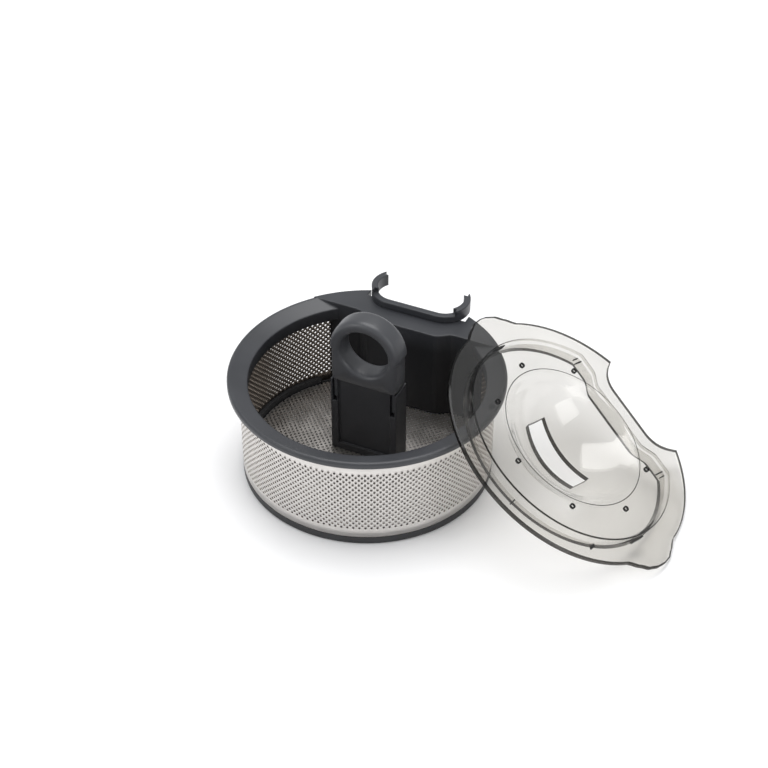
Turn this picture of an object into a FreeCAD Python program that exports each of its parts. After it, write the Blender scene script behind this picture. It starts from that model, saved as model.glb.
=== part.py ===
import FreeCAD, Part
import os
import re

import Sketcher

doc = FreeCAD.newDocument("brew_basket")
dims = doc.addObject("Spreadsheet::Sheet", "dims")

# Sizes in millimetres and degrees
SIZES = [
    ("basket_height", 44.8),
    ("rim_radius", 55.0),
    ("lip_height", 2.8),
    ("funnel_drop", 2.6),
    ("collar_inner", 47.0),
    ("collar_depth", 8.0),
    ("drum_radius", 50.5),
    ("drum_wall", 0.6),
    ("fit_gap", 0.2),
    ("base_height", 3.6),
    ("base_ring_width", 4.2),
    ("upstand_height", 3.4),
    ("upstand_wall", 1.6),
    ("spoke_width", 4.0),
    ("spoke_height", 2.6),
    ("hub_radius", 11.0),
    ("mesh_thickness", 0.6),
    ("deck_thickness", 2.6),
    ("bulkhead_front", 32.3),
    ("bulkhead_step", 3.7),
    ("bulkhead_half", 14.0),
    ("bulkhead_blend", 8.0),
    ("bulkhead_wall", 2.0),
    ("notch_half", 22.0),
    ("notch_mouth", 46.6),
    ("clip_front", 41.1),
    ("clip_wall", 2.6),
    ("clip_corner", 10.5),
    ("clip_corner_x", 10.8),
    ("clip_low", 3.1),
    ("clip_rise", 2.1),
    ("clip_wrap", 28.0),
    ("cover_wall", 1.8),
    ("post_width", 28.5),
    ("post_depth", 9.8),
    ("post_centre_y", 1.1),
    ("panel_margin", 3.0),
    ("panel_depth", 1.0),
    ("peg_radius", 4.0),
    ("peg_length", 3.0),
    ("loop_radius", 15.0),
    ("loop_hole", 10.0),
    ("loop_rise", 10.4),
    ("loop_skirt", 15.4),
    ("tongue_width", 19.0),
    ("tongue_depth", 5.0),
    ("tongue_length", 9.0),
    ("leg_width", 1.6),
    ("leg_length", 9.5),
    ("slot_length", 11.0),
    ("slot_inset", 0.9),
    ("slot_depth", 3.0),
    ("lid_thickness", 2.0),
    ("lid_plateau", 1.8),
    ("lid_ear_reach", 59.6),
    ("lid_ear_half", 9.0),
    ("lid_gap", 1.0),
    ("lid_skirt_wall", 1.5),
    ("lid_skirt_drop", 3.0),
    ("bowl_mouth", 31.0),
    ("bowl_neck", 26.6),
    ("bowl_neck_drop", 3.5),
    ("bowl_depth", 13.0),
    ("lid_slot_gap", 0.8),
    ("vent_ring", 34.5),
    ("vent_radius", 0.85),
    ("lid_tilt", 31.63),
    ("lid_heading", 5.82),
    ("lid_spin", -28.2),
    ("lid_reach", 82.3),
    ("lid_bearing", 8.56),
    ("lid_centre_z", 30.547),
]
for row, (alias, number) in enumerate(SIZES, start=1):
    dims.set("A%d" % row, alias)
    dims.set("B%d" % row, "%g" % number)
    dims.setAlias("B%d" % row, alias)
doc.recompute()

NAMES = {alias for alias, _ in SIZES}


def linked(text):
    """Turn bare size names in a formula into sheet references."""
    return re.sub(r"[a-z_]+", lambda m: "dims." + m[0] if m[0] in NAMES else m[0], str(text))


def bind(thing, **formulas):
    """Tie properties of an object to formulas over the sheet."""
    for name, text in formulas.items():
        thing.setExpression(name.replace("__", "."), linked(text))
    return thing


def place(thing, x="0", y="0", z="0"):
    """Tie an object's position to the sheet."""
    return bind(thing, Placement__Base__x=x, Placement__Base__y=y, Placement__Base__z=z)


def rod(name, radius, height, x="0", y="0", z="0"):
    """Upright cylinder standing at x, y, z."""
    thing = doc.addObject("Part::Cylinder", name)
    bind(thing, Radius=radius, Height=height)
    return place(thing, x, y, z)


def block(name, length, width, height, x="0", y="0", z="0"):
    """Box centred on x, starting at y and z."""
    thing = doc.addObject("Part::Box", name)
    bind(thing, Length=length, Width=width, Height=height)
    return place(thing, "(%s) - (%s) / 2" % (x, length), y, z)


def cut(name, base, tool):
    """First shape less the second."""
    thing = doc.addObject("Part::Cut", name)
    thing.Base = base
    thing.Tool = tool
    return thing


def fuse(name, *shapes):
    """Several shapes as one."""
    thing = doc.addObject("Part::MultiFuse", name)
    thing.Shapes = list(shapes)
    return thing


def common(name, *shapes):
    """What several shapes share."""
    thing = doc.addObject("Part::MultiCommon", name)
    thing.Shapes = list(shapes)
    return thing


def number_of(text):
    """Present value of a formula, to start a sketch near its solution."""
    values = {alias: float(number) for alias, number in SIZES}
    tokens = re.findall(r"[a-z_]+|[0-9.]+|[-+*/()]", text)
    position = [0]

    def factor():
        token = tokens[position[0]]
        position[0] += 1
        if token == "-":
            return -factor()
        if token == "(":
            inner = total()
            position[0] += 1
            return inner
        return values[token] if token in values else float(token)

    def product():
        result = factor()
        while position[0] < len(tokens) and tokens[position[0]] in "*/":
            sign = tokens[position[0]]
            position[0] += 1
            other = factor()
            result = result * other if sign == "*" else result / other
        return result

    def total():
        result = product()
        while position[0] < len(tokens) and tokens[position[0]] in "+-":
            sign = tokens[position[0]]
            position[0] += 1
            other = product()
            result = result + other if sign == "+" else result - other
        return result

    return total()


def outline(body, name, plane, corners):
    """Closed sketch whose corners are tied to the sheet."""
    sketch = body.newObject("Sketcher::SketchObject", name)
    base = [item for item in body.Origin.OriginFeatures if item.Role == plane][0]
    sketch.AttachmentSupport = [(base, "")]
    sketch.MapMode = "FlatFace"
    points = [FreeCAD.Vector(number_of(a), number_of(b), 0) for a, b in corners]
    count = len(points)
    for i in range(count):
        sketch.addGeometry(Part.LineSegment(points[i], points[(i + 1) % count]))
    for i in range(count):
        sketch.addConstraint(Sketcher.Constraint("Coincident", i, 2, (i + 1) % count, 1))
    for i, (a, b) in enumerate(corners):
        for kind, text, value in (("DistanceX", a, points[i].x), ("DistanceY", b, points[i].y)):
            if text == "0":
                axis = -2 if kind == "DistanceX" else -1
                sketch.addConstraint(Sketcher.Constraint("PointOnObject", i, 1, axis))
                continue
            index = sketch.addConstraint(Sketcher.Constraint(kind, -1, 1, i, 1, value))
            sketch.setExpression("Constraints[%d]" % index, linked(text))
    return sketch


def turned(name, corners):
    """Body turned round the upright axis from corners given as radius and height."""
    body = doc.addObject("PartDesign::Body", name)
    sketch = outline(body, name + "_profile", "XZ_Plane", corners)
    turn = body.newObject("PartDesign::Revolution", name + "_turn")
    turn.Profile = sketch
    turn.ReferenceAxis = (sketch, ["V_Axis"])
    turn.Angle = 360.0
    body.Tip = turn
    return body


def raised(name, corners, height, z="0"):
    """Body drawn in plan and raised upright."""
    body = doc.addObject("PartDesign::Body", name)
    sketch = outline(body, name + "_plan", "XY_Plane", corners)
    pad = body.newObject("PartDesign::Pad", name + "_pad")
    pad.Profile = sketch
    bind(pad, Length=height)
    body.Tip = pad
    return place(body, z=z)


def bulkhead_line(shift):
    """Front line of the bulkhead in plan, moved back by a formula."""
    steps = ((0.0, 0.0), (0.2, 0.08), (0.4, 0.34), (0.6, 0.66), (0.8, 0.92), (1.0, 1.0))
    right = [("rim_radius + 5", "bulkhead_front + bulkhead_step + %s" % shift)]
    for along, back in reversed(steps):
        x = "bulkhead_half + bulkhead_blend * %g" % along
        y = "bulkhead_front + bulkhead_step * %g + %s" % (back, shift)
        right.append((x, y))
    left = [("-(%s)" % x, y) for x, y in reversed(right)]
    return right + left


def clip_plan(name, inset, height, z):
    """Plan of the carriage clip, drawn in by a formula: a flat front and two round corners."""
    radius = "clip_corner - (%s)" % inset
    corner_y = "clip_front + clip_corner"
    right = rod(name + "_right", radius, height, "clip_corner_x", corner_y, z)
    left = rod(name + "_left", radius, height, "-clip_corner_x", corner_y, z)
    front = block(name + "_front", "clip_corner_x * 2", radius, height, "0", "clip_front + (%s)" % inset, z)
    return fuse(name, right, left, front)


def notch(name, inset, side, height, z):
    """Rear notch in the rim, grown by an inset of the clip plan and a side allowance."""
    plan = clip_plan(name + "_plan", inset, height, z)
    back = block(
        name + "_back", "2 * (clip_corner_x + clip_corner - (%s))" % inset, "20", height, "0",
        "clip_front + clip_corner", z,
    )
    mouth = block(name + "_mouth", "2 * (notch_half + %s)" % side, "20", height, "0", "notch_mouth - (%s)" % side, z)
    return fuse(name, plan, back, mouth)


# Levels that several pieces share
DRUM_BASE = "base_height + fit_gap"
LIP_UNDER = "basket_height - lip_height"
FLOOR_TOP = "base_height + fit_gap + mesh_thickness"
DECK_UNDER = "basket_height - deck_thickness"
BULKHEAD_BACK = "bulkhead_front + bulkhead_step + bulkhead_wall"
COLLAR_OUTER = "drum_radius - drum_wall - fit_gap"

# Collar with its funnel, rear deck and bulkhead
ring = turned("collar_ring", [
    ("collar_inner", "basket_height - funnel_drop"),
    ("rim_radius - 1.2", "basket_height"),
    ("rim_radius - 0.4", "basket_height - 0.2"),
    ("rim_radius", "basket_height - 0.9"),
    ("rim_radius", LIP_UNDER + " + 0.5"),
    ("rim_radius - 0.5", LIP_UNDER),
    (COLLAR_OUTER, LIP_UNDER),
    (COLLAR_OUTER, "basket_height - collar_depth"),
    ("collar_inner", "basket_height - collar_depth"),
])
deck_plan = raised("deck_plan", bulkhead_line("0") + [
    ("-(rim_radius + 5)", "rim_radius + 5"),
    ("rim_radius + 5", "rim_radius + 5"),
], "deck_thickness", DECK_UNDER)
deck = common("deck", deck_plan, rod("deck_round", "rim_radius", "deck_thickness", z=DECK_UNDER))
wall_back = bulkhead_line("bulkhead_wall")
wall_back.reverse()
wall_plan = raised(
    "bulkhead_plan", bulkhead_line("0") + wall_back,
    "basket_height - 0.5 - (%s) - fit_gap" % FLOOR_TOP, FLOOR_TOP + " + fit_gap",
)
wall_round = rod("bulkhead_round", COLLAR_OUTER, "basket_height")
bulkhead = common("bulkhead", wall_plan, wall_round)
collar_whole = fuse("collar_whole", ring, deck, bulkhead)
collar_notch = notch("collar_notch", "clip_wall", "0", "collar_depth + 4", "basket_height - collar_depth - 2")
collar = cut("collar", collar_whole, collar_notch)

# Drum of perforated sheet, open at the back where the rear cover stands
drum_pipe = cut(
    "drum_pipe",
    rod("drum_out", "drum_radius", LIP_UNDER + " - fit_gap - (%s)" % DRUM_BASE, z=DRUM_BASE),
    rod("drum_in", "drum_radius - drum_wall", "basket_height", z="0"),
)
drum_open = block("drum_open", "rim_radius * 3", "rim_radius", "basket_height * 2", "0", BULKHEAD_BACK)
drum = cut("drum", drum_pipe, drum_open)

# Rear cover that closes the back and lines the recess
cover_height = LIP_UNDER + " - fit_gap - (%s)" % DRUM_BASE
cover_body = cut(
    "cover_body",
    rod("cover_out", "drum_radius", cover_height, z=DRUM_BASE),
    notch("cover_notch", "clip_wall", "0", "basket_height * 2", "-basket_height / 2"),
)
cover_round = rod("cover_in", "drum_radius - cover_wall", "basket_height * 2", z="-basket_height / 2")
cover_hollow = cut(
    "cover_hollow", cover_round,
    notch("cover_liner", "clip_wall - cover_wall", "cover_wall", "basket_height * 2", "-basket_height / 2"),
)
cover_shell = cut("cover_shell", cover_body, cover_hollow)
cover_side = block("cover_side", "rim_radius * 3", "rim_radius", "basket_height * 2", "0", BULKHEAD_BACK + " + fit_gap")
back_cover_raw = common("back_cover_raw", cover_shell, cover_side)
collar_skirt_room = rod("collar_skirt_room", COLLAR_OUTER + " + fit_gap", "basket_height",
                        z="basket_height - collar_depth - fit_gap")
back_cover = cut("back_cover", back_cover_raw, collar_skirt_room)

# Base ring with its upstand, spokes and hub in one moulding
base_ring = turned("base_turn", [
    ("drum_radius - base_ring_width", "0"),
    ("drum_radius - 0.6", "0"),
    ("drum_radius", "0.6"),
    ("drum_radius", "base_height"),
    ("drum_radius - drum_wall - fit_gap", "base_height"),
    ("drum_radius - drum_wall - fit_gap", "base_height + upstand_height"),
    ("drum_radius - drum_wall - fit_gap - upstand_wall", "base_height + upstand_height"),
    ("drum_radius - drum_wall - fit_gap - upstand_wall", "base_height"),
    ("drum_radius - base_ring_width", "base_height"),
])
spoke_across = block(
    "spoke_across", "2 * (drum_radius - 2)", "spoke_width", "spoke_height", "0", "-spoke_width / 2",
    "base_height - spoke_height",
)
spoke_front = block(
    "spoke_front", "spoke_width", "2 * (drum_radius - 2)", "spoke_height", "0", "2 - drum_radius",
    "base_height - spoke_height",
)
hub = rod("hub", "hub_radius", "base_height")
rear_sill = block("rear_sill", "2 * notch_half + 4", "5", "base_height", "0", "clip_front + clip_wall - 5.5")
rear_sill_in = common("rear_sill_in", rear_sill, rod("rear_sill_round", "drum_radius", "base_height"))
frame_solid = fuse("frame_solid", base_ring, spoke_across, spoke_front, hub, rear_sill_in)
rear_room = block("rear_room", "rim_radius * 3", "rim_radius", "basket_height", "0", "bulkhead_front - 1", "base_height")
frame_flat = cut("frame_flat", frame_solid, rear_room)
frame_notched = cut(
    "frame_notched", frame_flat, notch("frame_notch", "clip_wall", "0", "basket_height", "-2"),
)
peg_hole = rod("peg_hole", "peg_radius + fit_gap", "basket_height", "0", "post_centre_y",
               "base_height - peg_length - fit_gap + 0.6")
base_frame = cut("base_frame", frame_notched, peg_hole)

# Perforated floor resting on the spokes
floor_round = rod(
    "floor_round", "drum_radius - drum_wall - upstand_wall - fit_gap * 3", "mesh_thickness",
    z="base_height + fit_gap",
)
floor_back = raised("floor_back", bulkhead_line("0 - fit_gap") + [
    ("-(rim_radius + 5)", "rim_radius + 5"),
    ("rim_radius + 5", "rim_radius + 5"),
], "basket_height", "0")
floor_cut = cut("floor_cut", floor_round, floor_back)
floor_hole = rod("floor_hole", "peg_radius + fit_gap", "basket_height", "0", "post_centre_y")
floor_mesh = cut("floor_mesh", floor_cut, floor_hole)

# Centre post with its socket, front panel and two snap windows
POST_FOOT = FLOOR_TOP + " + fit_gap"
LOOP_FOOT = "basket_height + loop_rise - loop_skirt"
POST_FRONT = "post_centre_y - post_depth / 2"
post_block = block(
    "post_block", "post_width", "post_depth", "(%s) - fit_gap - (%s)" % (LOOP_FOOT, POST_FOOT), "0",
    POST_FRONT, POST_FOOT,
)
post_peg = rod("post_peg", "peg_radius", "peg_length + 1", "0", "post_centre_y", POST_FOOT + " - peg_length")
post_solid = fuse("post_solid", post_block, post_peg)
socket = block(
    "socket", "tongue_width + fit_gap * 2", "tongue_depth + fit_gap * 2", "tongue_length * 2", "0",
    "post_centre_y - tongue_depth / 2 - fit_gap", "(%s) - tongue_length - fit_gap" % LOOP_FOOT,
)
panel = block(
    "panel", "post_width - panel_margin * 2", "panel_depth * 2", "basket_height", "0",
    POST_FRONT + " - panel_depth", POST_FOOT + " + panel_margin",
)
WINDOW_X = "post_width / 2 - slot_inset - leg_width / 2"
windows = [
    block(
        "window_" + side, "leg_width + fit_gap * 2", "slot_depth * 2", "slot_length * 2",
        sign + "(%s)" % WINDOW_X, POST_FRONT + " - slot_depth", "(%s) - slot_length" % LOOP_FOOT,
    )
    for side, sign in (("left", "-"), ("right", ""))
]
post = cut("post", post_solid, fuse("post_voids", socket, panel, *windows))

# Finger loop whose tongue and two legs enter the post
LOOP_CENTRE = "basket_height + loop_rise"
arch_round = doc.addObject("Part::Cylinder", "arch_round")
bind(arch_round, Radius="loop_radius", Height="post_depth")
arch_round.Placement.Rotation = FreeCAD.Rotation(FreeCAD.Vector(1, 0, 0), 90)
place(arch_round, "0", "post_centre_y + post_depth / 2", LOOP_CENTRE)
arch_foot = block("arch_foot", "post_width", "post_depth", "loop_skirt", "0", POST_FRONT, LOOP_FOOT)
loop_hole = doc.addObject("Part::Cylinder", "loop_hole_cut")
bind(loop_hole, Radius="loop_hole", Height="post_depth * 2")
loop_hole.Placement.Rotation = FreeCAD.Rotation(FreeCAD.Vector(1, 0, 0), 90)
place(loop_hole, "0", "post_centre_y + post_depth", LOOP_CENTRE)
arch = cut("arch", fuse("arch_solid", arch_round, arch_foot), loop_hole)
tongue = block(
    "tongue", "tongue_width", "tongue_depth", "tongue_length + 1", "0", "post_centre_y - tongue_depth / 2",
    "(%s) - tongue_length" % LOOP_FOOT,
)
legs = [
    block(
        "leg_" + side, "leg_width", "slot_depth - 1.2", "leg_length + 1", sign + "(%s)" % WINDOW_X,
        POST_FRONT + " + 1", "(%s) - leg_length" % LOOP_FOOT,
    )
    for side, sign in (("left", "-"), ("right", ""))
]
finger_loop = fuse("finger_loop", arch, tongue, *legs)

# Carriage clip standing on the deck round the notch
CLIP_FOOT = "basket_height + fit_gap / 2"
clip_tall = "clip_low + clip_rise"
clip_outer = clip_plan("clip_outer", "0", clip_tall, CLIP_FOOT)
clip_inner = clip_plan("clip_inner", "clip_wall", "basket_height * 2", "0")
clip_room = block(
    "clip_room", "2 * (clip_corner_x + clip_corner - clip_wall)", "40", "basket_height * 2", "0",
    "clip_front + clip_corner",
)
clip_void = fuse("clip_void", clip_inner, clip_room)
clip_band = cut("clip_band", clip_outer, clip_void)
clip_arms = [
    rod("clip_arm_" + side, "clip_corner", clip_tall, sign + "clip_corner_x", "clip_front + clip_corner", CLIP_FOOT)
    for side, sign in (("left", "-"), ("right", ""))
]
clip_bores = [
    rod("clip_bore_" + side, "clip_corner - clip_wall", "basket_height * 2", sign + "clip_corner_x",
        "clip_front + clip_corner")
    for side, sign in (("left", "-"), ("right", ""))
]
arm_keep = [
    block("arm_keep_" + side, "clip_corner", "clip_corner * sin(clip_wrap)", clip_tall,
          sign + "(clip_corner_x + clip_corner / 2)", "clip_front + clip_corner", CLIP_FOOT)
    for side, sign in (("left", "-"), ("right", ""))
]
hooks = [
    common("clip_hook_" + side, cut("clip_horn_" + side, arm, bore), keep)
    for side, arm, bore, keep in zip(("left", "right"), clip_arms, clip_bores, arm_keep)
]
clip_whole = fuse("clip_whole", clip_band, *hooks)
clip_dip = block(
    "clip_dip", "clip_corner_x * 3.4", "clip_corner", "clip_rise * 4", "0", "clip_front - clip_corner / 2",
    "basket_height + clip_low",
)
carriage_clip = cut("carriage_clip", clip_whole, clip_dip)

# Lid drawn about its own centre, flange top at height zero
SKIRT_RADIUS = "collar_inner - lid_gap"
SKIRT_BACK = "0 - lid_gap"


def lid_field(name, radius, shift, height, z):
    """Round plate cut straight along the bulkhead line."""
    plate = rod(name + "_round", radius, height, z=z)
    plan = bulkhead_line(shift)
    back = raised(name + "_behind", plan + [
        ("-(rim_radius + 5)", "rim_radius + 9"),
        ("rim_radius + 5", "rim_radius + 9"),
    ], "basket_height", "-basket_height / 2")
    return cut(name, plate, back)


ears = [
    raised("lid_ear_" + side, [
        (sign + "(lid_ear_reach - 9)", "-(lid_ear_half + 8)"),
        (sign + "(lid_ear_reach - 6.2)", "-(lid_ear_half + 5.5)"),
        (sign + "(lid_ear_reach - 3.6)", "-(lid_ear_half + 1.8)"),
        (sign + "(lid_ear_reach - 1)", "-(lid_ear_half - 2.5)"),
        (sign + "lid_ear_reach", "-(lid_ear_half - 7)"),
        (sign + "lid_ear_reach", "lid_ear_half - 7"),
        (sign + "(lid_ear_reach - 1)", "lid_ear_half - 2.5"),
        (sign + "(lid_ear_reach - 3.6)", "lid_ear_half + 1.8"),
        (sign + "(lid_ear_reach - 6.2)", "lid_ear_half + 5.5"),
        (sign + "(lid_ear_reach - 9)", "lid_ear_half + 8"),
    ], "lid_thickness", "-lid_thickness")
    for side, sign in (("left", "-"), ("right", ""))
]
flange = fuse("lid_flange", rod("lid_disc", "rim_radius", "lid_thickness", z="-lid_thickness"), *ears)
plateau = lid_field("lid_plateau_plate", SKIRT_RADIUS, SKIRT_BACK, "lid_thickness + lid_plateau", "-lid_thickness")
skirt_out = lid_field("lid_skirt_out", SKIRT_RADIUS, SKIRT_BACK, "lid_thickness + lid_skirt_drop",
                      "-lid_thickness - lid_skirt_drop")
bowl_out = turned("bowl_out", [
    ("0", "lid_plateau"),
    ("bowl_mouth + lid_thickness", "lid_plateau"),
    ("bowl_mouth + lid_thickness", "0"),
    ("bowl_neck + lid_thickness", "lid_plateau - bowl_neck_drop - lid_thickness / 2"),
    ("(bowl_neck + lid_thickness) * 0.86", "lid_plateau - bowl_neck_drop - lid_thickness - bowl_depth * 0.28"),
    ("(bowl_neck + lid_thickness) * 0.66", "lid_plateau - bowl_neck_drop - lid_thickness - bowl_depth * 0.60"),
    ("(bowl_neck + lid_thickness) * 0.42", "lid_plateau - bowl_neck_drop - lid_thickness - bowl_depth * 0.86"),
    ("(bowl_neck + lid_thickness) * 0.2", "lid_plateau - bowl_neck_drop - lid_thickness - bowl_depth * 0.98"),
    ("0", "lid_plateau - bowl_neck_drop - lid_thickness - bowl_depth"),
])
under_void = lid_field(
    "lid_under_void", SKIRT_RADIUS + " - lid_skirt_wall", SKIRT_BACK + " - lid_skirt_wall",
    "lid_plateau + lid_skirt_drop + lid_thickness", "-lid_skirt_drop - lid_thickness * 2",
)
lid_crown = cut("lid_crown", fuse("lid_crown_solid", plateau, skirt_out), under_void)
bowl_in = turned("bowl_in", [
    ("0", "lid_plateau + 5"),
    ("bowl_mouth", "lid_plateau + 5"),
    ("bowl_mouth", "lid_plateau"),
    ("bowl_neck", "lid_plateau - bowl_neck_drop"),
    ("bowl_neck * 0.86", "lid_plateau - bowl_neck_drop - bowl_depth * 0.28"),
    ("bowl_neck * 0.66", "lid_plateau - bowl_neck_drop - bowl_depth * 0.60"),
    ("bowl_neck * 0.42", "lid_plateau - bowl_neck_drop - bowl_depth * 0.86"),
    ("bowl_neck * 0.2", "lid_plateau - bowl_neck_drop - bowl_depth * 0.98"),
    ("0", "lid_plateau - bowl_neck_drop - bowl_depth"),
])
flange_open = lid_field("lid_flange_open", SKIRT_RADIUS + " - lid_skirt_wall", SKIRT_BACK + " - lid_skirt_wall",
                        "lid_thickness * 3", "-lid_thickness * 2")
flange_ring = cut("lid_flange_ring", flange, flange_open)
lid_solid = fuse("lid_solid", flange_ring, lid_crown, bowl_out)
lid_slot = block(
    "lid_slot", "post_width + lid_slot_gap * 2", "post_depth + lid_slot_gap * 2", "basket_height * 2", "0",
    "%s - lid_slot_gap" % POST_FRONT, "-basket_height",
)
vents = [
    rod("vent_%d" % (angle // 45), "vent_radius", "basket_height", "vent_ring * cos(%d)" % angle,
        "vent_ring * sin(%d)" % angle, "-basket_height / 2")
    for angle in (0, 135, 45, 180, 225, 270, 315)
]
lid_notch = notch("lid_notch", "-0.5", "0.4", "basket_height", "-basket_height / 2")
lid_voids = fuse("lid_voids", bowl_in, lid_slot, lid_notch, *vents)
lid = cut("lid", lid_solid, lid_voids)
lid.Placement = FreeCAD.Placement(
    FreeCAD.Vector(0, 0, 0),
    FreeCAD.Rotation(dims.lid_heading, dims.lid_tilt, 0)
    * FreeCAD.Rotation(FreeCAD.Vector(0, 0, 1), dims.lid_spin),
)
place(lid, "lid_reach * cos(lid_bearing)", "lid_reach * sin(lid_bearing)", "lid_centre_z")

doc.recompute()

NODES = {
    "collar": collar,
    "drum": drum,
    "back_cover": back_cover,
    "base_frame": base_frame,
    "floor_mesh": floor_mesh,
    "post": post,
    "finger_loop": finger_loop,
    "carriage_clip": carriage_clip,
    "lid": lid,
}
for thing in doc.Objects:
    if "Invalid" in thing.State or "Error" in thing.State:
        raise RuntimeError("broken feature: " + thing.Name)
os.makedirs("parts", exist_ok=True)
for label, thing in NODES.items():
    thing.Label = label
    shape = thing.Shape
    if shape.isNull() or not shape.isValid():
        raise RuntimeError("bad shape: " + label)
    box = shape.BoundBox
    print(label, "solids", len(shape.Solids), "volume %.0f" % shape.Volume, "box", [
        round(v, 1) for v in (box.XMin, box.YMin, box.ZMin, box.XMax, box.YMax, box.ZMax)
    ])
    shape.exportStep("parts/%s.step" % label)
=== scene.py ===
import math

import bpy
from mathutils import Matrix, Vector


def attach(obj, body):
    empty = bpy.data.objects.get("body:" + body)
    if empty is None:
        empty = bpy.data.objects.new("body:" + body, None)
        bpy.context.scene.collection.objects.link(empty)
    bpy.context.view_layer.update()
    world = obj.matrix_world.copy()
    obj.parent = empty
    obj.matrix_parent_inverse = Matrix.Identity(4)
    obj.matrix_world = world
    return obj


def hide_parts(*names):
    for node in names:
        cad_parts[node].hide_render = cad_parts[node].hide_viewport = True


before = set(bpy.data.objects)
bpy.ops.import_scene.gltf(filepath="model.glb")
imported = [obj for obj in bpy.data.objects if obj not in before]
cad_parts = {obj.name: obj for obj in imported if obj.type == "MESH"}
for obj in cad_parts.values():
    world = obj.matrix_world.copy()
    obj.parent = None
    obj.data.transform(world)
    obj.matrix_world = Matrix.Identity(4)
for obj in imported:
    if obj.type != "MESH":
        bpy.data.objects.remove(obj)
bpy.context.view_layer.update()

MM = 0.001
FULL_TURN = 2 * math.pi

# Sizes shared with the solids, in millimetres and degrees
RIM_RADIUS = 55.0
DRUM_RADIUS, DRUM_WALL = 50.5, 0.6
DRUM_LOW, DRUM_HIGH, DRUM_BACK = 3.8, 41.8, 38.0
BULKHEAD_FRONT, BULKHEAD_STEP, BULKHEAD_HALF, BULKHEAD_BLEND = 32.3, 3.7, 14.0, 8.0
NOTCH_HALF, NOTCH_MOUTH = 22.0, 46.6
CLIP_FRONT, CLIP_CORNER, CLIP_CORNER_X = 41.1, 10.5, 10.8
POST_WIDTH, POST_DEPTH, POST_Y = 28.5, 9.8, 1.1
LOOP_CENTRE, LOOP_RADIUS, LOOP_HOLE, LOOP_FOOT = 55.2, 15.0, 10.0, 39.8
LEG_WIDTH, LEG_DEPTH, LEG_LENGTH, LEG_INSET = 1.6, 1.8, 9.5, 0.9
LID_CENTRE = (81.383, 12.250, 30.547)
LID_HEADING, LID_TILT, LID_SPIN = 5.82, 31.63, -28.2
LID_THICKNESS, PLATEAU, SKIRT_RADIUS, SKIRT_DROP, SKIRT_WALL = 2.0, 1.8, 46.0, 3.0, 1.5
LID_GAP, LID_SLOT_GAP = 1.0, 0.8
BOWL_MOUTH, BOWL_NECK, BOWL_NECK_DROP, BOWL_DEPTH = 31.0, 26.6, 3.5, 13.0
VENT_RING = 34.5


# Materials
def material(name):
    """New node material, its tree and its output."""
    made = bpy.data.materials.new(name)
    made.use_nodes = True
    tree = made.node_tree
    tree.nodes.clear()
    return made, tree, tree.nodes.new("ShaderNodeOutputMaterial")


def node(tree, kind, values=None, links=None, operation=None):
    """Add a shader node, set its inputs and join its sockets."""
    made = tree.nodes.new("ShaderNode" + kind)
    if operation:
        made.operation = operation
    for key, value in (values or {}).items():
        made.inputs[key].default_value = value
    for key, socket in (links or {}).items():
        tree.links.new(socket, made.inputs[key])
    return made


def place_of(tree):
    """Place on the object, in metres."""
    return node(tree, "TexCoord").outputs["Object"]


def noise(tree, vector, scale, detail):
    """Smooth random value from 0 to 1."""
    return node(tree, "TexNoise", {"Scale": scale, "Detail": detail}, {"Vector": vector}).outputs["Fac"]


def ramp(tree, factor, low, high, start=0.0, end=1.0):
    """Colour that runs from low to high as the factor goes from start to end."""
    made = node(tree, "ValToRGB", links={"Fac": factor})
    stops = made.color_ramp.elements
    for stop, position, colour in ((stops[0], start, low), (stops[1], end, high)):
        stop.position = position
        stop.color = (*colour, 1)
    return made.outputs["Color"]


def between(tree, value, low, high, span=(0.0, 1.0)):
    """Value that runs from low to high as another goes over its span."""
    values = {"From Min": span[0], "From Max": span[1], "To Min": low, "To Max": high}
    return node(tree, "MapRange", values, {"Value": value}).outputs["Result"]


def plastic(name, low, high, rough, edge, shade=None):
    """Satin moulded plastic with softened edges, with painted shade that darkens it below a span of
    heights where one is given.
    """
    made, tree, out = material(name)
    place = place_of(tree)
    grain = noise(tree, place, 2600.0, 3.0)
    cloud = noise(tree, place, 45.0, 2.0)
    colour = ramp(tree, cloud, low, high, 0.35, 0.7)
    # Painted shade: the colour is scaled down to 0.42 towards the bottom of the given heights, for the
    # shade low in the basket.
    if shade:
        height = node(tree, "SeparateXYZ", links={"Vector": place}).outputs["Z"]
        painted_shade_factor = between(tree, height, 0.42, 1.0, shade)
        painted_shade_scaling = node(tree, "VectorMath", links={0: colour, "Scale": painted_shade_factor}, operation="SCALE")
        colour = painted_shade_scaling.outputs["Vector"]
    soft = node(tree, "Bevel", {"Radius": edge})
    soft.samples = 6
    bump = node(
        tree, "Bump", {"Strength": 0.10, "Distance": 0.00008},
        {"Height": grain, "Normal": soft.outputs["Normal"]},
    )
    shader = node(tree, "BsdfPrincipled", {"IOR": 1.5}, {
        "Base Color": colour,
        "Roughness": between(tree, cloud, rough - 0.05, rough + 0.07),
        "Normal": bump.outputs["Normal"],
    })
    tree.links.new(shader.outputs["BSDF"], out.inputs["Surface"])
    return made


# Pitches of the floor's holes in metres, and the square of a hole's radius in pitches
FLOOR_PITCHES = (("X", 0.00233), ("Y", 0.00244))
FLOOR_HOLE_SQUARE = 0.045
CELLS_CLEAR_OF_ZERO = 100.0


def math_node(tree, operation, first, second=None):
    """Result of a sum on one socket and, where given, a second socket or a number."""
    number = isinstance(second, float)
    values = {1: second} if number else None
    links = {0: first} if number or second is None else {0: first, 1: second}
    return node(tree, "Math", values, links, operation).outputs[0]


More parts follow.
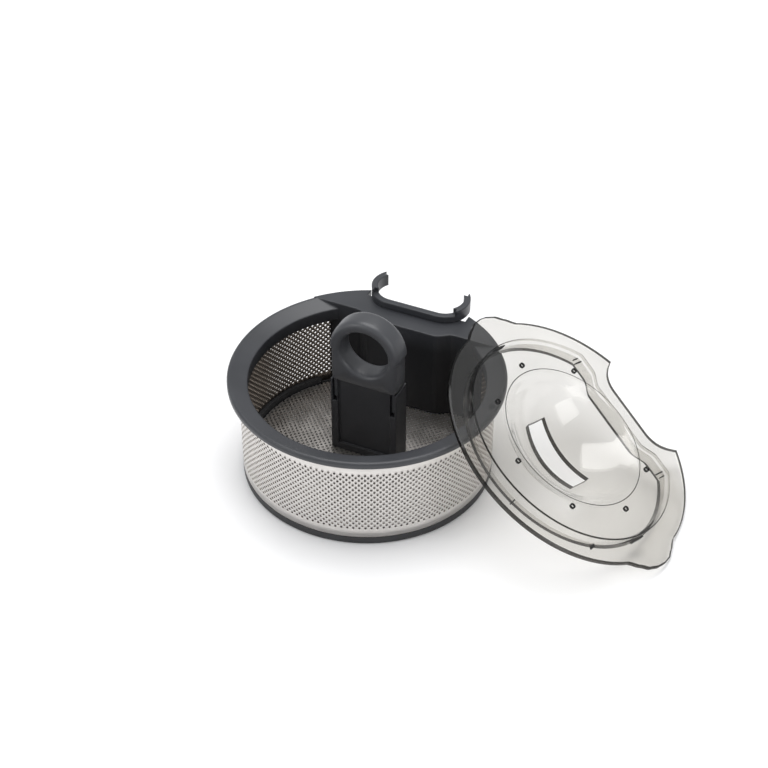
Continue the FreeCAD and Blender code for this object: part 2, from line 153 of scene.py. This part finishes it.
def hole_pattern(tree, place):
    """1 inside nearly round holes on a staggered lattice in plan, and 0 between them."""
    split = node(tree, "SeparateXYZ", links={"Vector": place})
    lattices = []
    for shift in (0.0, 0.5):
        squares = []
        for axis, pitch in FLOOR_PITCHES:
            scaled = math_node(tree, "MULTIPLY", split.outputs[axis], 1.0 / pitch)
            moved = math_node(tree, "ADD", scaled, shift + CELLS_CLEAR_OF_ZERO)
            centred = math_node(tree, "SUBTRACT", math_node(tree, "FRACT", moved), 0.5)
            squares.append(math_node(tree, "MULTIPLY", centred, centred))
        lattices.append(math_node(tree, "ADD", *squares))
    return math_node(tree, "LESS_THAN", math_node(tree, "MINIMUM", *lattices), FLOOR_HOLE_SQUARE)


def steel(name, low, high, holes=False):
    """Satin stainless sheet, see-through in a pattern of holes where asked."""
    made, tree, out = material(name)
    place = place_of(tree)
    stretch = node(tree, "Mapping", {"Scale": (1.0, 1.0, 18.0)}, {"Vector": place})
    streak = noise(tree, stretch.outputs["Vector"], 160.0, 4.0)
    bump = node(tree, "Bump", {"Strength": 0.12, "Distance": 0.00005}, {"Height": streak})
    shader = node(tree, "BsdfPrincipled", {"Metallic": 0.85}, {
        "Base Color": ramp(tree, streak, low, high, 0.3, 0.75),
        "Roughness": between(tree, streak, 0.30, 0.44),
        "Normal": bump.outputs["Normal"],
    })
    surface = shader.outputs["BSDF"]
    if holes:
        clear = node(tree, "BsdfTransparent").outputs["BSDF"]
        links = {0: hole_pattern(tree, place), 1: surface, 2: clear}
        surface = node(tree, "MixShader", links=links).outputs["Shader"]
    tree.links.new(surface, out.inputs["Surface"])
    return made


def smoke(name, low, high, gloss, rough):
    """Clear smoke-grey plastic: a tinted see-through body under a glossy skin."""
    made, tree, out = material(name)
    haze = noise(tree, place_of(tree), 38.0, 2.0)
    see = node(tree, "BsdfTransparent", links={"Color": ramp(tree, haze, low, high, 0.3, 0.7)})
    ripple = node(tree, "Bump", {"Strength": 0.05, "Distance": 0.0002}, {"Height": haze})
    skin = node(
        tree, "BsdfGlossy",
        {"Roughness": rough, "Color": (1, 1, 1, 1)}, {"Normal": ripple.outputs["Normal"]},
    )
    steep = math_node(tree, "POWER", node(tree, "LayerWeight").outputs["Facing"], 4.0)
    amount = between(tree, steep, 0.03 * gloss, 0.55 * gloss)
    mixed = node(tree, "MixShader", links={0: amount, 1: see.outputs["BSDF"], 2: skin.outputs["BSDF"]})
    tree.links.new(mixed.outputs["Shader"], out.inputs["Surface"])
    return made


# Heights in metres below which the charcoal turns darker: painted shade on the lower collar and the
# bulkhead.
COLLAR_PAINTED_SHADE = (0.036, 0.0425)
charcoal = plastic(
    "charcoal", (0.030, 0.032, 0.037), (0.040, 0.042, 0.048), 0.36, 0.0010, COLLAR_PAINTED_SHADE,
)
# Darker copy of the charcoal for the post, painted shade on its front; lighter copy for the finger loop
# and its legs, painted light on the loop's lit top.
charcoal_post_shaded = plastic("charcoal_post_shaded", (0.020, 0.021, 0.024), (0.028, 0.029, 0.033), 0.45, 0.0005)
charcoal_loop_lit = plastic("charcoal_lit_loop", (0.045, 0.047, 0.052), (0.058, 0.060, 0.066), 0.36, 0.0003)
base_black = plastic("base_black", (0.018, 0.0185, 0.020), (0.028, 0.029, 0.031), 0.48, 0.0003)
satin = steel("satin_steel", (0.60, 0.575, 0.55), (0.76, 0.735, 0.71))
# Darker copy of the satin steel for the drum's inner side: painted shade inside the basket.
satin_inside_shaded = steel("satin_inside_shaded", (0.20, 0.17, 0.145), (0.29, 0.25, 0.215))
# Darker copy of the satin steel for the basket's floor: painted shade inside the basket.
satin_floor_shaded = steel("satin_floor_shaded", (0.36, 0.34, 0.32), (0.50, 0.475, 0.45), holes=True)
clear_body = smoke("smoke_clear", (0.865, 0.857, 0.84), (0.895, 0.888, 0.872), 1.1, 0.05)
# Nearly black copy of the smoke plastic: painted shade standing in for the dark lines that refraction
# makes at the clear lid's edges, vents and ribs.
clear_painted_dark_edge = smoke("smoke_painted_dark_edge", (0.06, 0.057, 0.054), (0.12, 0.115, 0.11), 0.7, 0.12)

CAD_FINISHES = {
    "collar": charcoal,
    "back_cover": charcoal,
    "carriage_clip": charcoal,
    "base_frame": base_black,
    "post": charcoal_post_shaded,
    "floor_mesh": satin_floor_shaded,
}
for name, finish in CAD_FINISHES.items():
    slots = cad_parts[name].data.materials
    slots.clear()
    slots.append(finish)


# Mesh tools
def piece(name, points, faces, finishes, indexes=None, smooth=False):
    """Mesh object from points in millimetres."""
    mesh = bpy.data.meshes.new(name)
    mesh.from_pydata([[c * MM for c in point] for point in points], [], faces)
    for finish in finishes:
        mesh.materials.append(finish)
    if indexes:
        mesh.polygons.foreach_set("material_index", indexes)
    mesh.validate()
    mesh.update()
    made = bpy.data.objects.new(name, mesh)
    bpy.context.scene.collection.objects.link(made)
    for face in mesh.polygons:
        face.use_smooth = smooth
    return made


def add_block(points, faces, plan, low, high):
    """Add an upright block with four corners in plan to a mesh's points and faces."""
    base = len(points)
    points += [(x, y, z) for z in (low, high) for x, y in plan]
    faces.append([base + 3, base + 2, base + 1, base])
    faces.append([base + 4, base + 5, base + 6, base + 7])
    for corner in range(4):
        following = (corner + 1) % 4
        faces.append([base + corner, base + following, base + following + 4, base + corner + 4])


# Perforated drum
HOLE_ROWS, FIRST_ROW, ROW_PITCH = 23, 8.3, 1.218
COLUMN_PITCH = 1.165
HOLE_RADIUS, HOLE_SIDES = 0.50, 10
SHEET_THICKNESS = 0.5
sheet_radius = DRUM_RADIUS - DRUM_WALL / 2
end_angle = math.asin(DRUM_BACK / DRUM_RADIUS)
sweep = math.pi + 2 * end_angle
columns = 2 * round(sweep * DRUM_RADIUS / COLUMN_PITCH / 2)
column_angle = sweep / columns
holes_low = FIRST_ROW - ROW_PITCH
holes_high = FIRST_ROW + HOLE_ROWS * ROW_PITCH
hole_turns = [FULL_TURN * (k + 0.5) / HOLE_SIDES for k in range(HOLE_SIDES)]
cell_half = column_angle * DRUM_RADIUS / 2
cell_corners = [(-1, -1), (1, -1), (1, 0), (1, 1), (-1, 1), (-1, 0)]
cell_turns = [math.atan2(b * ROW_PITCH, a * cell_half) % FULL_TURN for a, b in cell_corners]
drum_points, drum_faces, drum_known = [], [], {}


def add_drum_point(angle, height):
    """Add a point on the sheet, by its angle from the sheet's right end, and return its number."""
    turn = end_angle - angle
    drum_points.append((sheet_radius * math.cos(turn), sheet_radius * math.sin(turn), height))
    return len(drum_points) - 1


def grid_point(column, height):
    """Number of a point between two columns of holes, which their cells share."""
    key = (column, round(height * 1000))
    if key not in drum_known:
        drum_known[key] = add_drum_point(column * column_angle, height)
    return drum_known[key]


def plain_cell(column, low, high):
    """Cell of the sheet without a hole."""
    drum_faces.append([
        grid_point(column, low), grid_point(column + 1, low),
        grid_point(column + 1, high), grid_point(column, high),
    ])


def holed_cell(column, middle):
    """Cell of the sheet round one hole, as triangles between the hole and the cell's border."""
    border = [grid_point(column + (a + 1) // 2, middle + b * ROW_PITCH) for a, b in cell_corners]
    edge = [
        add_drum_point(
            (column + 0.5) * column_angle + HOLE_RADIUS * math.cos(turn) / DRUM_RADIUS,
            middle + HOLE_RADIUS * math.sin(turn),
        )
        for turn in hole_turns
    ]
    around_hole = sorted(
        [(turn, "border", point) for turn, point in zip(cell_turns, border)]
        + [(turn, "hole", point) for turn, point in zip(hole_turns, edge)]
    )
    outer = [point for _, side, point in around_hole if side == "border"][-1]
    inner = edge[-1]
    for _, side, point in around_hole:
        if side == "border":
            drum_faces.append([outer, point, inner])
            outer = point
        else:
            drum_faces.append([inner, outer, point])
            inner = point


for column in range(columns):
    staggered = column % 2
    if staggered:
        plain_cell(column, holes_low, holes_low + ROW_PITCH)
        plain_cell(column, holes_high - ROW_PITCH, holes_high)
    for row in range(staggered, HOLE_ROWS, 2):
        holed_cell(column, FIRST_ROW + row * ROW_PITCH)
    plain_cell(column, DRUM_LOW, holes_low)
    plain_cell(column, holes_high, DRUM_HIGH)
drum = piece("drum_sheet", drum_points, drum_faces, [satin, satin_inside_shaded], smooth=True)
drum.data.flip_normals()
sheet = drum.modifiers.new("sheet", "SOLIDIFY")
sheet.thickness = SHEET_THICKNESS * MM
sheet.offset = 0.0
sheet.use_even_offset = True
# The shell that solidify adds, and its rims, take the darker steel: painted shade on the drum's inner
# side.
sheet.material_offset = 1
sheet.material_offset_rim = 1
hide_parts("drum")
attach(drum, "basket")

# Finger loop
LOOP_STEPS = 96
LOOP_ROUNDING, ROUNDING_SHARE, FOOT_SHARE = 2.6, 0.62, 0.15
ROUNDING_TURNS = (0.3, 0.6, 0.9, 1.2, 1.57)
LEG_ROOT, LEG_SETBACK, LEG_SOFTENING = 1.0, 1.0, 0.3
loop_half = POST_DEPTH / 2


def arch_outline(inset):
    """Outline of the arch and then of its hole, both drawn in by an inset, about the hole's centre."""
    outer, hole = [], []
    side = POST_WIDTH / 2 - inset
    foot = LOOP_CENTRE - LOOP_FOOT - inset * FOOT_SHARE
    for k in range(LOOP_STEPS):
        turn = FULL_TURN * k / LOOP_STEPS
        reach = LOOP_RADIUS - inset
        if math.sin(turn) < 0:
            across, down = abs(math.cos(turn)), abs(math.sin(turn))
            reach = min(side / max(across, 1e-6), foot / max(down, 1e-6))
        outer.append((reach * math.cos(turn), reach * math.sin(turn)))
        hole.append(((LOOP_HOLE + inset) * math.cos(turn), (LOOP_HOLE + inset) * math.sin(turn)))
    return outer + hole


front_rounding = [
    (LOOP_ROUNDING * (1 - math.cos(turn)) - loop_half, 1 - math.sin(turn)) for turn in ROUNDING_TURNS
]
back_rounding = [(-y, away) for y, away in reversed(front_rounding)]
layers = [(-loop_half, 1.0)] + front_rounding + back_rounding + [(loop_half, 1.0)]
loop_points, loop_faces = [], []
for y, away in layers:
    for x, z in arch_outline(LOOP_ROUNDING * ROUNDING_SHARE * away):
        loop_points.append((x, POST_Y + y, LOOP_CENTRE + z))
for layer in range(len(layers) - 1):
    a = layer * 2 * LOOP_STEPS
    b = a + 2 * LOOP_STEPS
    for k in range(LOOP_STEPS):
        n = (k + 1) % LOOP_STEPS
        hole_k, hole_n = k + LOOP_STEPS, n + LOOP_STEPS
        loop_faces.append([a + k, a + n, b + n, b + k])
        loop_faces.append([a + hole_n, a + hole_k, b + hole_k, b + hole_n])
last_layer = (len(layers) - 1) * 2 * LOOP_STEPS
for k in range(LOOP_STEPS):
    n = (k + 1) % LOOP_STEPS
    front_face = [k, k + LOOP_STEPS, n + LOOP_STEPS, n]
    loop_faces.append(front_face)
    loop_faces.append([last_layer + point for point in reversed(front_face)])
loop = piece("loop_arch", loop_points, loop_faces, [charcoal_loop_lit], smooth=True)

leg_points, leg_faces = [], []
leg_front = POST_Y - loop_half + LEG_SETBACK
leg_back = leg_front + LEG_DEPTH
for side in (-1, 1):
    middle = side * (POST_WIDTH / 2 - LEG_INSET - LEG_WIDTH / 2)
    left, right = middle - LEG_WIDTH / 2, middle + LEG_WIDTH / 2
    plan = [(left, leg_front), (right, leg_front), (right, leg_back), (left, leg_back)]
    add_block(leg_points, leg_faces, plan, LOOP_FOOT - LEG_LENGTH, LOOP_FOOT + LEG_ROOT)
legs = piece("loop_legs", leg_points, leg_faces, [charcoal_loop_lit])
soften = legs.modifiers.new("soften", "BEVEL")
soften.width = LEG_SOFTENING * MM
soften.segments = 3
for part in (loop, legs):
    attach(part, "basket")
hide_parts("finger_loop")

# Lid, drawn about its own centre and then leaned on the rim
TURNS = 720
BOWL_RINGS = 24
BOWL_ROUNDNESS, UNDERSIDE_SPREAD = 0.85, 0.02
# MOUTH_LINE is the width of the band of painted dark line at the bowl's mouth.
MOUTH_LINE, SKIRT_SOFTENING, SKIRT_ROOT = 0.35, 0.5, 0.02
FLANGE_SOFTENING, FLANGE_EDGE_TOP, FLANGE_EDGE_LOW, FLANGE_UNDERCUT = 0.6, -0.5, -1.6, 0.4
NOTCH_CLIP_GAP, NOTCH_SIDE_GAP = 0.5, 0.4
SLOT_HALF, SLOT_BACK = POST_WIDTH / 2 + LID_SLOT_GAP, POST_DEPTH / 2 + LID_SLOT_GAP
SLOT_FRONT, SLOT_BOW, SLOT_BOW_HALF = 5.6, 1.4, 15.0
EAR_OUTLINE = [(2.0, 59.6), (6.5, 58.6), (10.8, 56.0), (14.5, 53.4), (17.0, 50.6)]
EAR_CURVE = 0.35
lid_matrix = (
    Matrix.Translation([c * MM for c in LID_CENTRE])
    @ Matrix.Rotation(math.radians(LID_HEADING), 4, "Z")
    @ Matrix.Rotation(math.radians(LID_TILT), 4, "Y")
    @ Matrix.Rotation(math.radians(LID_SPIN), 4, "Z")
)
angles = [FULL_TURN * k / TURNS for k in range(TURNS)]


def smoothstep(value):
    """Soft step from 0 to 1."""
    value = min(max(value, 0.0), 1.0)
    return value * value * (3 - 2 * value)


def bulkhead(x):
    """Distance of the bulkhead's front from the basket's axis at x."""
    return BULKHEAD_FRONT + BULKHEAD_STEP * smoothstep((abs(x) - BULKHEAD_HALF) / BULKHEAD_BLEND)


def in_skirt(x, y):
    """Inside the lid's D-shaped skirt."""
    return math.hypot(x, y) < SKIRT_RADIUS and y < bulkhead(x) - LID_GAP


def in_notch(x, y):
    """Inside the rear notch, which follows the clip with a gap."""
    if y > NOTCH_MOUTH - NOTCH_SIDE_GAP and abs(x) < NOTCH_HALF + NOTCH_SIDE_GAP:
        return True
    if y < CLIP_FRONT - NOTCH_CLIP_GAP:
        return False
    if abs(x) <= CLIP_CORNER_X:
        return True
    radius = CLIP_CORNER + NOTCH_CLIP_GAP
    corner_y = CLIP_FRONT + CLIP_CORNER
    in_corner = math.hypot(abs(x) - CLIP_CORNER_X, y - corner_y) < radius
    return in_corner or (y > corner_y and abs(x) < CLIP_CORNER_X + radius)


def ear_reach(y):
    """How far the ears stand out from the lid's middle line at y."""
    y = abs(y)
    if y <= EAR_OUTLINE[0][0]:
        return EAR_OUTLINE[0][1]
    for (y0, reach0), (y1, reach1) in zip(EAR_OUTLINE, EAR_OUTLINE[1:]):
        if y <= y1:
            share = (y - y0) / (y1 - y0)
            eased = EAR_CURVE * smoothstep(share) + (1 - EAR_CURVE) * share
            return reach0 + (reach1 - reach0) * eased
    return 0.0


def in_lid(x, y):
    """Inside the lid's outline."""
    inside = math.hypot(x, y) < RIM_RADIUS or abs(x) < ear_reach(y)
    return inside and not (y > 0 and in_notch(x, y))


def in_slot(x, y):
    """Inside the finger loop's slot, about its middle: square ends, straight behind, bowed in front."""
    front = SLOT_BOW * (x / SLOT_BOW_HALF) ** 2 - SLOT_FRONT
    return front < y < SLOT_BACK and abs(x) < SLOT_HALF


def reach_to(test, angle, low, high):
    """Furthest distance along an angle that still passes a test."""
    for _ in range(26):
        middle = (low + high) / 2
        if test(middle * math.cos(angle), middle * math.sin(angle)):
            low = middle
        else:
            high = middle
    return low


def bowl_height(radius):
    """Height of the lid's upper face at a radius."""
    if radius >= BOWL_MOUTH:
        return PLATEAU
    if radius >= BOWL_NECK:
        share = (BOWL_MOUTH - radius) / (BOWL_MOUTH - BOWL_NECK)
        return PLATEAU - BOWL_NECK_DROP * smoothstep(share)
    dome = (1 - (radius / BOWL_NECK) ** 2) ** BOWL_ROUNDNESS
    return PLATEAU - BOWL_NECK_DROP - BOWL_DEPTH * dome


def ring_at(radii, inset, height):
    """Ring of points at a radius for each angle, drawn in by an inset."""
    return [((r - inset) * math.cos(a), (r - inset) * math.sin(a), height) for r, a in zip(radii, angles)]


lid_edge = [reach_to(in_lid, a, 5.0, 62.0) for a in angles]
skirt_edge = [reach_to(in_skirt, a, 5.0, 50.0) for a in angles]
slot_edge = [reach_to(in_slot, a, 0.0, 30.0) for a in angles]
upper, lower = [], []
for number in range(BOWL_RINGS + 1):
    share = number / BOWL_RINGS
    spread = 1 + UNDERSIDE_SPREAD * share
    upper_ring, lower_ring = [], []
    for a, reach in zip(angles, slot_edge):
        slot_x, slot_y = reach * math.cos(a), POST_Y + reach * math.sin(a)
        x = slot_x + (BOWL_MOUTH * math.cos(a) - slot_x) * share
        y = slot_y + (BOWL_MOUTH * math.sin(a) - slot_y) * share
        height = bowl_height(math.hypot(x, y))
        upper_ring.append((x, y, height))
        lower_ring.append((x * spread, y * spread, height - LID_THICKNESS))
    upper.append(upper_ring)
    lower.append(lower_ring)

# The lid's section, ring by ring, with how the band from a ring to the next is coloured and shaded. Bands
# marked edge take the nearly black smoke, painted shade for the dark refraction lines at the bowl's
# mouth, the skirt, the outer rim and the slot.
skirt_foot = -LID_THICKNESS - SKIRT_DROP
section = [(points, "") for points in upper[:-1]]
section += [
    (upper[-1], "edge flat"),
    (ring_at([BOWL_MOUTH] * TURNS, -MOUTH_LINE, PLATEAU), "flat"),
    (ring_at(skirt_edge, SKIRT_SOFTENING, PLATEAU), "edge"),
    (ring_at(skirt_edge, 0, PLATEAU - SKIRT_SOFTENING), ""),
    (ring_at(skirt_edge, 0, 0), "flat"),
    (ring_at(lid_edge, FLANGE_SOFTENING, 0), "edge"),
    (ring_at(lid_edge, 0, FLANGE_EDGE_TOP), "edge"),
    (ring_at(lid_edge, 0, FLANGE_EDGE_LOW), ""),
    (ring_at(lid_edge, FLANGE_UNDERCUT, -LID_THICKNESS), "flat"),
    (ring_at(skirt_edge, -SKIRT_ROOT, -LID_THICKNESS), ""),
    (ring_at(skirt_edge, 0, skirt_foot), "edge flat"),
    (ring_at(skirt_edge, SKIRT_WALL, skirt_foot), ""),
    (ring_at(skirt_edge, SKIRT_WALL, PLATEAU - LID_THICKNESS), "flat"),
]
section += [(points, "") for points in reversed(lower[1:])]
section.append((lower[0], "edge"))
lid_points, lid_faces, lid_indexes, lid_smooth = [], [], [], []
for band, (points, kind) in enumerate(section):
    lid_points += points
    a, b = band * TURNS, (band + 1) % len(section) * TURNS
    for k in range(TURNS):
        n = (k + 1) % TURNS
        lid_faces.append([a + k, b + k, b + n, a + n])
        lid_indexes.append(int("edge" in kind))
        lid_smooth.append("flat" not in kind)
lid = piece("lid_shell", lid_points, lid_faces, [clear_body, clear_painted_dark_edge], lid_indexes)
for face, smooth in zip(lid.data.polygons, lid_smooth):
    face.use_smooth = smooth
lid.data.set_sharp_from_angle(angle=math.radians(32))
lid.data.transform(lid_matrix)
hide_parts("lid")
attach(lid, "lid")

# Vent tubes and small ribs on the lid, in the nearly black smoke: painted shade for the dark look that
# refraction gives them
VENT_DEGREES = (0, 45, 135, 180, 225, 270, 315)
TUBE_RADIUS, TUBE_WALL, TUBE_SIDES = 1.1, 0.25, 20
TUBE_LOW, TUBE_HIGH = PLATEAU - 0.9, PLATEAU + 0.1
PLATEAU_UNDER = PLATEAU - LID_THICKNESS
CORNER_RIBS = ((27.6, 30.0, 34.2, 0.5), (29.4, 30.6, 33.6, 0.4))
CORNER_RIB_DROP, SKIRT_RIB_DROP, SKIRT_RIB_WIDTH = 0.8, 2.4, 0.5
SIDE_RIB_X, SIDE_RIB_HALF = 46.2, 3.0
SHORT_RIB_DEGREES, SHORT_RIB_START, SHORT_RIB_END = (-75, -150, -30), 46.1, 47.4
mark_points, mark_faces = [], []


def tube(x, y):
    """Small upright tube in lid coordinates."""
    base = len(mark_points)
    inner = TUBE_RADIUS - TUBE_WALL
    profile = ((TUBE_RADIUS, TUBE_LOW), (TUBE_RADIUS, TUBE_HIGH), (inner, TUBE_HIGH), (inner, TUBE_LOW))
    for radius, z in profile:
        for k in range(TUBE_SIDES):
            turn = FULL_TURN * k / TUBE_SIDES
            mark_points.append((x + radius * math.cos(turn), y + radius * math.sin(turn), z))
    for corner in range(4):
        a = base + corner * TUBE_SIDES
        b = base + (corner + 1) % 4 * TUBE_SIDES
        for k in range(TUBE_SIDES):
            n = (k + 1) % TUBE_SIDES
            mark_faces.append([a + k, a + n, b + n, b + k])


def rib(start, end, width, top, drop):
    """Thin straight rib that hangs down from a height, in lid coordinates."""
    start, end = Vector(start), Vector(end)
    along = (end - start).normalized()
    side = Vector((-along.y, along.x)) * width / 2
    plan = [start - side, end - side, end + side, start + side]
    add_block(mark_points, mark_faces, plan, top - drop, top)


for degrees in VENT_DEGREES:
    a = math.radians(degrees)
    tube(VENT_RING * math.cos(a), VENT_RING * math.sin(a))
for side in (-1, 1):
    for x, y_start, y_end, width in CORNER_RIBS:
        rib((side * x, y_start), (side * x, y_end), width, PLATEAU_UNDER, CORNER_RIB_DROP)
    start, end = (side * SIDE_RIB_X, -SIDE_RIB_HALF), (side * SIDE_RIB_X, SIDE_RIB_HALF)
    rib(start, end, SKIRT_RIB_WIDTH, -LID_THICKNESS, SKIRT_RIB_DROP)
for degrees in SHORT_RIB_DEGREES:
    a = math.radians(degrees)
    outward = Vector((math.cos(a), math.sin(a)))
    start, end = outward * SHORT_RIB_START, outward * SHORT_RIB_END
    rib(start, end, SKIRT_RIB_WIDTH, -LID_THICKNESS, SKIRT_RIB_DROP)
marks = piece("lid_marks", mark_points, mark_faces, [clear_painted_dark_edge])
marks.data.transform(lid_matrix)
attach(marks, "lid")

# Floor
FLOOR_HALF, FLOOR_DEPTH = 6000, 0.1
floor_white, tree, out = material("floor_white")
tone = ramp(tree, noise(tree, place_of(tree), 6.0, 2.0), (0.955, 0.955, 0.957), (0.975, 0.975, 0.976))
paper = node(tree, "BsdfDiffuse", {"Roughness": 0.2}, {"Color": tone})
tree.links.new(paper.outputs["BSDF"], out.inputs["Surface"])
floor_corners = ((-1, -1), (1, -1), (1, 1), (-1, 1))
corners = [(a * FLOOR_HALF, b * FLOOR_HALF, -FLOOR_DEPTH) for a, b in floor_corners]
floor = piece("floor_sheet", corners, [[0, 1, 2, 3]], [floor_white])

# Light: a white background for the camera, soft sky fill and three soft lamps
world = bpy.data.worlds.new("studio")
bpy.context.scene.world = world
world.use_nodes = True
tree = world.node_tree
tree.nodes.clear()
out = tree.nodes.new("ShaderNodeOutputWorld")
seen = node(tree, "Background", {"Color": (1, 1, 1, 1), "Strength": 1.0})
fill = node(tree, "Background", {"Color": (0.97, 0.98, 1.0, 1), "Strength": 0.62})
mixed = node(tree, "MixShader", links={
    0: node(tree, "LightPath").outputs["Is Camera Ray"],
    1: fill.outputs["Background"],
    2: seen.outputs["Background"],
})
tree.links.new(mixed.outputs["Shader"], out.inputs["Surface"])


def lamp(name, where, aim, size, power):
    """Soft square lamp aimed at a point, in metres and watts."""
    data = bpy.data.lights.new(name, "AREA")
    data.shape = "SQUARE"
    data.size = size
    data.energy = power
    made = bpy.data.objects.new(name, data)
    made.location = where
    made.rotation_euler = (Vector(aim) - Vector(where)).to_track_quat("-Z", "Y").to_euler()
    bpy.context.scene.collection.objects.link(made)


lamp("overhead", (-0.10, 0.25, 1.25), (0.02, 0, 0.02), 0.9, 10.5)
lamp("front_left", (-0.9, -0.95, 0.75), (0.02, 0, 0.02), 0.7, 4.5)
lamp("right", (1.15, -0.35, 0.7), (0.03, 0, 0.02), 0.6, 3.0)

# Camera at the photograph's viewing angle, in metres
AZIMUTH, ELEVATION = math.radians(25.0), math.radians(38.7)
DISTANCE, SHIFT_RIGHT, SHIFT_UP = 0.705, 0.0066, 0.0302
LENS, SENSOR = 81.0, 36.0
right = Vector((math.cos(AZIMUTH), math.sin(AZIMUTH), 0))
level = math.cos(ELEVATION)
back = Vector((math.sin(AZIMUTH) * level, -math.cos(AZIMUTH) * level, math.sin(ELEVATION)))
upward = back.cross(right)
camera_data = bpy.data.cameras.new("camera")
camera_data.lens = LENS
camera_data.sensor_width = SENSOR
camera_data.clip_end = 30.0
camera = bpy.data.objects.new("camera", camera_data)
spot = right * SHIFT_RIGHT + upward * SHIFT_UP + back * DISTANCE
camera.matrix_world = Matrix.Translation(spot) @ Matrix((right, upward, back)).transposed().to_4x4()
bpy.context.scene.collection.objects.link(camera)
bpy.context.scene.camera = camera
bpy.context.scene.view_settings.view_transform = "Standard"
bpy.context.scene.cycles.transparent_max_bounces = 24
